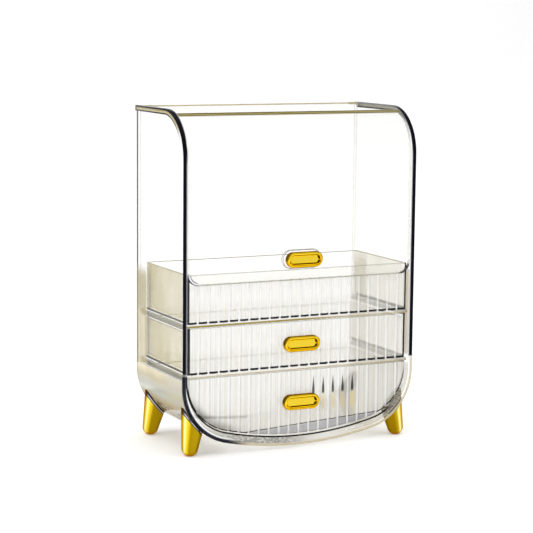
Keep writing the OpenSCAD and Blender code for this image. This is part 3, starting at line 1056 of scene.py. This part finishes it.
@dataclass
class FlutedBox:
    """A tray or drawer with a fluted front, whose sizes are in millimetres.

    half is half the front's width, low and rim are the heights of its edges, drop is how much
    lower the sides end, and milk is how dense the front looks.
    """

    node: str
    half: float
    low: float
    rim: float
    drop: float = 4.4
    milk: float = 0.24
    curved: bool = False
    flutes: int = 22
    rounding: float = 0.35 * MM

    def build(self) -> None:
        """Builds and dresses the box."""
        painted = ClearPlastic(haze=0.03).make(self.node + "_clear", self.paint)
        Bench.clear_piece(self.node, self.node + "_box", self.node, self.rounding, painted)

    def paint(self, spot: Spot, coat: Coat) -> None:
        """Draws tinted sides, and paints highlights, shade streaks and dark edge lines as
        reflections.
        """
        x, y, z, ax = spot.x, spot.y, spot.z, spot.ax
        half, low, rim, milk = self.half, self.low, self.rim, self.milk
        side_top = rim - self.drop
        across = (x + half).phase(2 * half / self.flutes)
        face, behind = y.ramp(6.9, 6.3), 1 - y.ramp(8.0, 7.4)
        # Sides and rear behind the front, tinted by their own thickness, with a painted dark
        # reflection along the sides' lower edge.
        sides = ax.ramp(half - 6, half - 3) * (0.75 + 0.25 * y.ramp(20, 85))
        uneven = spot.book.noise(30, 2, (0.3, 2.2, 0.5)) * 0.9 + 0.5
        coat.draw(
            behind,
            ((sides * uneven).least(1.0) * (0.45 + 0.55 * x.ramp(2, -2)), 0.46,
             CHAMPAGNE),
            (z.ramp(side_top - 0.7, side_top - 0.4), 0.75, OLIVE),
            (z.ramp(low + 2.7, low + 2.2) * ax.ramp(half - 1.2, half - 0.6), 0.97,
             (0.03, 0.028, 0.012)))
        # Front: cream with random grey streaks, painted shade streaks, and painted white highlights
        # in the valleys.
        below = face if self.drop else face * z.ramp(rim - 8.5, rim - 10.5)
        fine = spot.book.noise(1, 2, (520, 1, 0.8)).ramp(0.45, 0.60)
        valley_highlight = (across.ramp(0.90, 0.97) + across.ramp(0.13, 0.06)).clamp()
        coat.draw(face, (1, milk * 0.4, (0.80, 0.79, 0.74)))
        coat.draw(
            below, (1, milk, (0.86, 0.85, 0.81)), (fine, milk, (0.74, 0.73, 0.69)),
            *((across.band(start, end, soft), milk + more, tone)
              for start, end, soft, more, tone in FLUTE_SHADE_STREAKS))
        if self.curved:
            # A painted refraction of the foot behind and its dark joint, split by the flutes into
            # strokes.
            width = ((70 - z) * 0.010).least(0.14)
            strokes = (width - abs(across - 0.46)).ramp(0.0, 0.03) * x.band(9, 62, 1)
            coat.draw(
                below * strokes, (z.band(35, 50, 3), 0.75, (0.80, 0.66, 0.34)),
                (z.ramp(49, 52), 0.92, (0.035, 0.04, 0.045)))
        coat.draw(below, (valley_highlight, 0.75, WHITE))
        outline = spot.from_u(half, low, half - 67, 330) if self.curved else z - low
        if self.curved:
            # Painted shade inside the curved front's lower left corner.
            wall = outline.ramp(11, 0) * x.ramp(-55, -90) * z.ramp(62, 40)
            coat.draw(face, (wall, 0.66, (0.16, 0.16, 0.13)))
        coat.draw(face, (z.ramp(rim - 0.9, rim - 0.5), 0.6, (0.36, 0.36, 0.30)))
        # Lower edge, the curved drawer's floor, and the flat ones' ends: black lines as painted
        # dark reflections, broken at the valley highlights, and painted shade of the floor.
        thin = 0.9 if self.curved else 2.0
        ridge = face * (1 - valley_highlight)
        coat.draw(ridge, (outline.ramp(thin + 0.3, thin), 0.99, BLACK))
        if self.curved:
            floor = z - 0.055 * x
            coat.draw(
                ridge, (floor.ramp(low + 9.0, low + 7.0), 0.66, (0.34, 0.35, 0.41)),
                (floor.band(low + 8.4, low + 9.6, 0.25), 0.9, (0.04, 0.04, 0.05)))
        else:
            coat.draw(face, (ax.ramp(half - 2.5, half - 2.1), 0.97, BLACK))


@dataclass
class Pulls:
    """Gold pulls with a narrow neck and a round rim about a flat face, and their screws."""

    radius: float = PULL_R * MM
    bend: float = PULL_REACH * MM
    rim: float = PULL_RIM * MM
    depth: float = 7.4 * MM
    neck: float = 2.2 * MM
    neck_inset: float = 2.0 * MM
    groove: float = 0.5 * MM
    groove_depth: float = 0.1 * MM
    face_inset: float = 0.4 * MM
    rounding: float = 0.2 * MM
    pitch: float = 18 * MM
    screw_r: float = 1.4 * MM
    head_r: float = 2.7 * MM
    head_rim: float = 0.15 * MM
    lead: float = 0.5 * MM
    reach: float = 4 * MM
    sides: int = 48
    steps: int = 12
    # Body, seat, panel's rear side and height, in millimetres from the rim plane and table.
    places: dict[str, tuple[str, float, float, float]] = field(default_factory=lambda: {
        "lid": ("lid", 0.4, 3.4, LID_PULL_Z),
        "middle": ("middle_drawer", 3.7, 7.2, 102.6),
        "bottom": ("bottom_drawer", 3.7, 7.2, 45.2)})

    def build(self) -> None:
        """Builds one pull and one screw, and sets copies on the lid and drawers."""
        steel = STEEL.make("steel_countersunk")
        pull, screws = self.model_pull(), {}
        for name, (body, seat, panel, height) in self.places.items():
            place = Matrix.Translation((0, RIM_Y + seat * MM, height * MM))
            piece = Bench.placed(pull, name + "_pull_gold", place)
            Bench.dress(piece, GOLD.make(name + "_pull_gold", partial(paint_pull, height)))
            Bench.hand_over(piece, body, Slot.GOLD, name + "_pull")
            length = round((panel - seat) * MM + self.reach, 6)
            if length not in screws:
                screws[length] = self.model_screw(length)
            places = [Matrix.Translation((side * self.pitch / 2, RIM_Y + panel * MM, height * MM))
                      for side in (-1, 1)]
            piece = Bench.joined([Bench.placed(screws[length], name + "_screw", place)
                                  for place in places], name + "_pull_screws_steel")
            Bench.dress(piece, steel)
            Bench.hand_over(piece, body, Slot.STEEL, name + "_pull_screws")
        for master in (pull, *screws.values()):
            bpy.data.objects.remove(master)

    def model_pull(self) -> Piece:
        """Shapes a pull that faces -Y, with the middle of its seat at the origin."""
        pull = Bench.start(bpy.ops.mesh.primitive_circle_add, "pull_master", fill_type="NGON",
                           vertices=self.sides, radius=self.radius, location=(0, -self.neck, 0),
                           rotation=(math.pi / 2, -math.pi / self.sides, 0))
        for side in (1, -1):
            Bench.edit(pull, lambda point: point.co.x * side > 0, Parts.VERTS)
            bpy.ops.transform.translate(value=(side * self.bend, 0, 0))
            Bench.close()
        Bench.edit(pull)
        Bench.extrude((0, self.rim + self.neck - self.depth, 0))
        Bench.close()
        near, front = 0.1 * MM, self.rim - self.depth
        Bench.edit(pull, lambda face: face.calc_center_median().y < front + near)
        for step in range(self.steps):
            a, b = (math.pi * i / self.steps for i in (step, step + 1))
            bpy.ops.mesh.inset(thickness=self.rim * (math.cos(a) - math.cos(b)),
                               depth=self.rim * (math.sin(b) - math.sin(a)))
        bpy.ops.mesh.inset(thickness=self.groove, depth=-self.groove_depth)
        bpy.ops.mesh.inset(thickness=self.face_inset, depth=0.0)
        Bench.close()
        Bench.edit(pull, lambda face: face.calc_center_median().y > -self.neck - near)
        bpy.ops.mesh.inset(thickness=self.neck_inset, depth=0.0)
        Bench.extrude((0, self.neck, 0))
        Bench.close()
        Bench.finish_solid(pull, self.rounding)
        return pull

    def model_screw(self, length: float) -> Piece:
        """Shapes a countersunk screw with a cross recess.

        Args:
            length: Its length with the head.

        Returns:
            The screw, pointing to -Y with the middle of its head's face at the origin.
        """
        cone, turn = self.head_r - self.screw_r, Matrix.Rotation(math.pi / 2, 4, "X")
        screw = Bench.turned("screw_master", 32, self.head_r, 0.0, (
            (self.head_rim, 1.0), (cone - self.head_rim, self.screw_r / self.head_r),
            (length - cone - self.lead, 1.0), (self.lead, 0.6)))
        Bench.settle(screw, turn)
        Bench.cut_cross(screw, self.head_r, turn)
        return screw


@dataclass
class Feet:
    """Leaning gold cones with round ends, and the screws that hold them."""

    tip_r: float = 8 * MM
    taper: float = math.radians(8)
    lean_side: float = math.radians(10.4)
    lean_depth: float = math.radians(6)
    tip_x: float = 113 * MM
    front_y: float = -45.5 * MM
    rear_y: float = 52.5 * MM
    tip_z: float = 7.4 * MM
    height: float = 40 * MM
    rounding: float = 0.25 * MM
    tip_start: float = math.radians(6)
    tip_rings: int = 14
    cone_rings: int = 8
    corner_x: float = 67 * MM
    corner_z: float = 68.03 * MM
    wall_r: float = 56.5 * MM
    bead_r: float = 58 * MM
    bead_end_y: float = -50.5 * MM
    cutter_y: float = 80 * MM
    head_r: float = 3 * MM
    head_h: float = 1.8 * MM
    shank_r: float = 1.4 * MM
    shank_l: float = 12 * MM
    lead: float = 1 * MM
    seat_r: float = 53.41 * MM
    screw_inset: float = 11.76 * MM
    depth: float = 119 * MM

    def build(self) -> None:
        """Builds the feet and their screws."""
        gold, steel = GOLD.make("gold_foot", paint_foot), STEEL.make("steel_pan_head")
        for rear, row in ((False, "front"), (True, "rear")):
            master = self.model_foot(rear)
            for side, name in ((1, "right"), (-1, "left")):
                foot = Bench.placed(master, f"{row}_{name}_foot_gold",
                                    Matrix.Diagonal((side, 1, 1, 1)))
                Bench.dress(foot, gold)
                Bench.hand_over(foot, "case", Slot.GOLD, f"{row}_{name}_foot")
            bpy.data.objects.remove(master)
        master = self.model_screw()
        screws = []
        for side in (-1, 1):
            for y in (RIM_Y + self.screw_inset, RIM_Y + self.depth - self.screw_inset):
                turn = Matrix.Rotation(side * math.radians(135), 4, "Y")
                place = Matrix.Translation((side * self.corner_x, y, self.corner_z)) @ turn
                screws.append(Bench.placed(master, "foot_screw", place))
        bpy.data.objects.remove(master)
        screws = Bench.joined(screws, "foot_screws_steel")
        Bench.dress(screws, steel)
        Bench.hand_over(screws, "case", Slot.STEEL, "foot_screws")

    def model_foot(self, rear: bool) -> Piece:
        """Shapes a right foot, cut to the table and to the case's round corner.

        Args:
            rear: Whether it leans to the back.

        Returns:
            The foot.
        """
        first, last = self.tip_start, math.pi / 2 - self.taper
        angles = [first + (last - first) * i / self.tip_rings for i in range(self.tip_rings + 1)]
        rings = [(self.tip_r * (math.cos(low) - math.cos(high)), math.sin(high) / math.sin(low))
                 for low, high in zip(angles, angles[1:])]
        width, rise = self.tip_r * math.cos(self.taper), self.height / self.cone_rings
        for _ in range(self.cone_rings):
            rings.append((rise, (width + rise * math.tan(self.taper)) / width))
            width *= rings[-1][1]
        foot = Bench.turned("foot_master", 64, self.tip_r * math.sin(first),
                            -self.tip_r * math.cos(first), rings)
        lean, y = (self.lean_depth, self.rear_y) if rear else (-self.lean_depth, self.front_y)
        Bench.settle(foot, Matrix.Translation((self.tip_x, y, self.tip_z))
                     @ Matrix.Rotation(-self.lean_side, 4, "Y") @ Matrix.Rotation(lean, 4, "X"))
        Bench.face_out(foot)
        Bench.edit(foot)
        bpy.ops.mesh.bisect(plane_co=(0, 0, 0), plane_no=(0, 0, 1), clear_inner=True,
                            use_fill=True, threshold=0.001 * MM)
        Bench.close()
        for radius, high in ((self.wall_r, self.cutter_y), (self.bead_r, self.bead_end_y)):
            Bench.cut(foot, Bench.start(
                bpy.ops.mesh.primitive_cylinder_add, "corner_cutter", vertices=256, radius=radius,
                depth=high + self.cutter_y, rotation=(math.pi / 2, 0, 0),
                location=(self.corner_x, (high - self.cutter_y) / 2, self.corner_z)))
        Bench.finish_solid(foot, self.rounding, 60)
        return foot

    def model_screw(self) -> Piece:
        """Shapes a pan-head screw that points to +Z, at its distance from the corner's centre."""
        seat = self.seat_r - self.head_h
        screw = Bench.turned("screw_master", 32, self.head_r * 0.8, seat, (
            (0.25 * MM, 1.2), (0.45 * MM, 1 / 0.96), (self.head_h - 0.7 * MM, 1.0),
            (0.0, self.shank_r / self.head_r), (self.shank_l - self.lead, 1.0), (self.lead, 0.45)))
        Bench.cut_cross(screw, self.head_r,
                        Matrix.Translation((0, 0, seat)) @ Matrix.Rotation(math.pi, 4, "X"))
        return screw


def main() -> None:
    """Builds the studio and the organizer in order."""
    logging.basicConfig(level=logging.INFO, format="%(message)s")
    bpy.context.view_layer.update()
    Studio().build()
    for part in (Case(), Lid(),
                 FlutedBox("tray", 119.0, 127.8, 174.8, drop=0.0, milk=0.36),
                 FlutedBox("middle_drawer", 118.3, 79.3, 123.9, milk=0.45),
                 FlutedBox("bottom_drawer", 119.0, 13.0, 75.4, milk=0.58, curved=True),
                 Pulls(), Feet()):
        part.build()


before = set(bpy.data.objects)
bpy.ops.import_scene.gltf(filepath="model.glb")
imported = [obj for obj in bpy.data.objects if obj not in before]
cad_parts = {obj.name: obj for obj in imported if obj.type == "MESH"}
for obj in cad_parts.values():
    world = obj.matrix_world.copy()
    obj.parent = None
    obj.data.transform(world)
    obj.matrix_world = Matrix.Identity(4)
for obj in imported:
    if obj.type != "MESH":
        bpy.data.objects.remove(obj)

if __name__ == "__main__":
    main()
